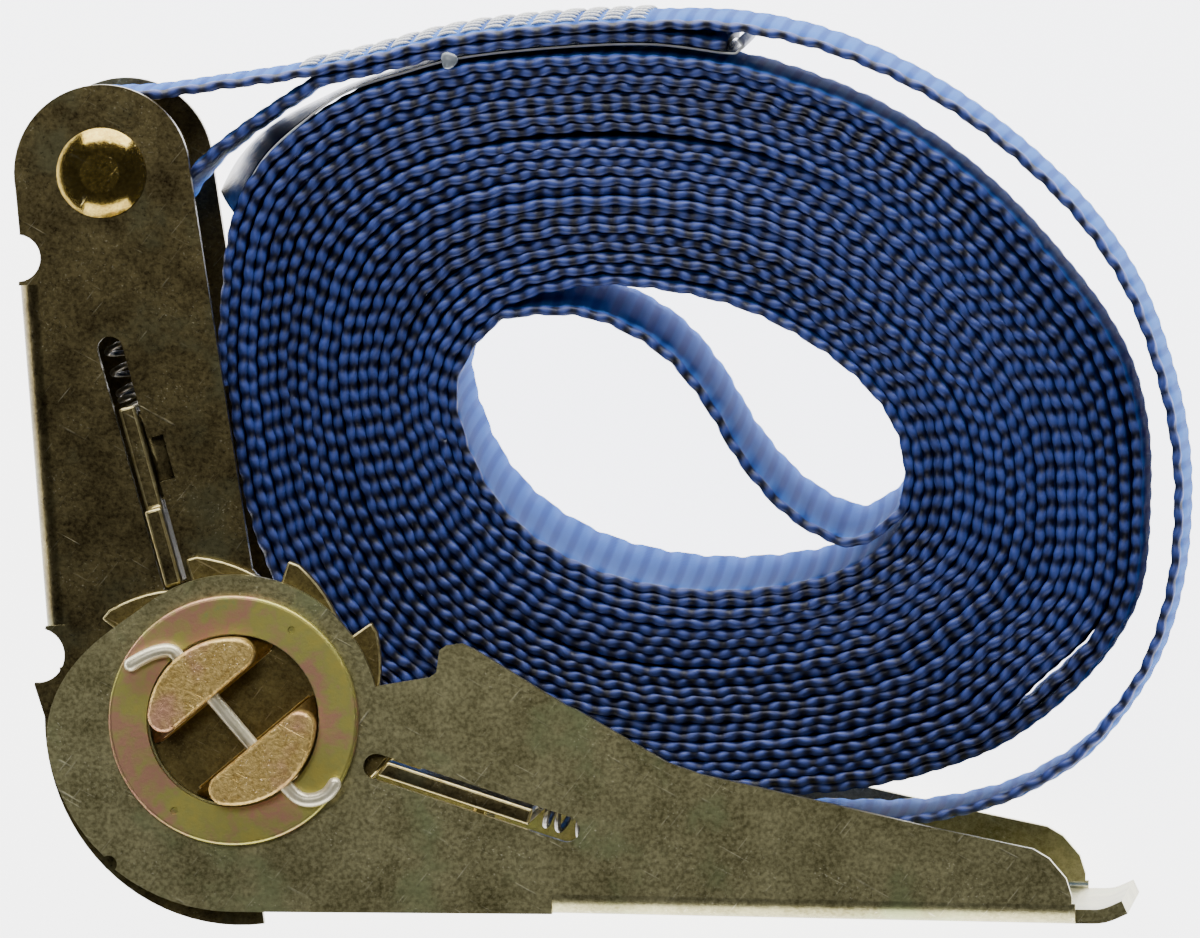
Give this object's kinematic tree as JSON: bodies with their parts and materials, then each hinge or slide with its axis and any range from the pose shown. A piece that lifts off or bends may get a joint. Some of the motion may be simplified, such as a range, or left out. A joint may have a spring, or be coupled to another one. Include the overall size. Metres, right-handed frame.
{
  "type": "ratchet tie down",
  "caption": "Cargo tie-down: a steel ratchet buckle lying on its side with its blue webbing strap coiled between frame and handle.",
  "frame": {"origin": "the middle of the spindle, on its axis and halfway between the frame's cheeks", "axes": "+Z along the spindle's axis, up as the buckle lies on its side; +X towards the handle's grip end; +Y towards the axle and the sewn eye"},
  "size_m": [0.1234, 0.0957, 0.0456],
  "materials": {
    "zinc_dark": "yellow passivated zinc, satin, slightly mottled",
    "zinc_bright": "yellow passivated zinc, polished by wear",
    "wheel_steel": "yellow passivated zinc with bright tooth edges",
    "ring_steel": "yellow passivated zinc with green and pink tints",
    "spindle_steel": "yellow passivated zinc, grainy cut ends",
    "cotter_wire": "bright drawn wire",
    "spring_wire": "drawn spring wire",
    "webbing": "ribbed woven polyester, navy blue with a slight sheen",
    "thread": "white polyester sewing thread",
    "label_film": "glossy dark blue film, blank",
    "tack_plastic": "clear plastic drop"
  },
  "bodies": {
    "frame": {"frame_channel": "zinc_dark", "axle_rivet": "zinc_bright", "frame_pawl_spring": "spring_wire", "strap_eye": "webbing", "strap_wrap": "webbing", "strap_coil": "webbing", "stitching": "thread", "label": "label_film", "label_tack": "tack_plastic"},
    "sleeve": {"axle_sleeve": "zinc_dark"},
    "handle": {"handle_channel": "zinc_dark", "handle_pawl_spring": "spring_wire"},
    "spindle": {"spindle_half_a": "spindle_steel", "spindle_half_b": "spindle_steel", "ratchet_wheel_upper": "wheel_steel", "ratchet_wheel_lower": "wheel_steel", "retaining_ring_upper": "ring_steel", "retaining_ring_lower": "ring_steel", "cotter_pin_upper": "cotter_wire", "cotter_pin_lower": "cotter_wire"},
    "frame_pawl": {"frame_pawl": "zinc_bright"},
    "handle_pawl": {"handle_pawl": "zinc_bright"}
  },
  "joints": [
    {"name": "handle_swing", "type": "hinge", "parent": "frame", "child": "handle", "pos_m": [0, 0, 0], "axis": [0, 0, 1], "range_deg": [-60, 0]},
    {"name": "spindle_turn", "type": "hinge", "parent": "frame", "child": "spindle", "pos_m": [0, 0, 0], "axis": [0, 0, 1], "range_deg": [-60, 0]},
    {"name": "frame_pawl_slide", "type": "slide", "parent": "frame", "child": "frame_pawl", "axis": [-0.2672, 0.9636, 0], "range_m": [0, 0.00675], "deforming": ["frame_pawl_spring"]},
    {"name": "handle_pawl_slide", "type": "slide", "parent": "handle", "child": "handle_pawl", "axis": [0.9511, -0.309, 0], "range_m": [0, 0.0045], "stiffness_N_per_m": 600, "springref_m": -0.004, "deforming": ["handle_pawl_spring"]},
    {"name": "sleeve_turn", "type": "hinge", "parent": "frame", "child": "sleeve", "pos_m": [-0.0143, 0.05755, 0], "axis": [0, 0, 1], "continuous": true}
  ],
  "couplings": [
    {"joint": "spindle_turn", "follows": "handle_swing", "ratio": 1},
    {"joint": "frame_pawl_slide", "follows": "handle_swing", "m_per_rad": -0.0064171}
  ]
}
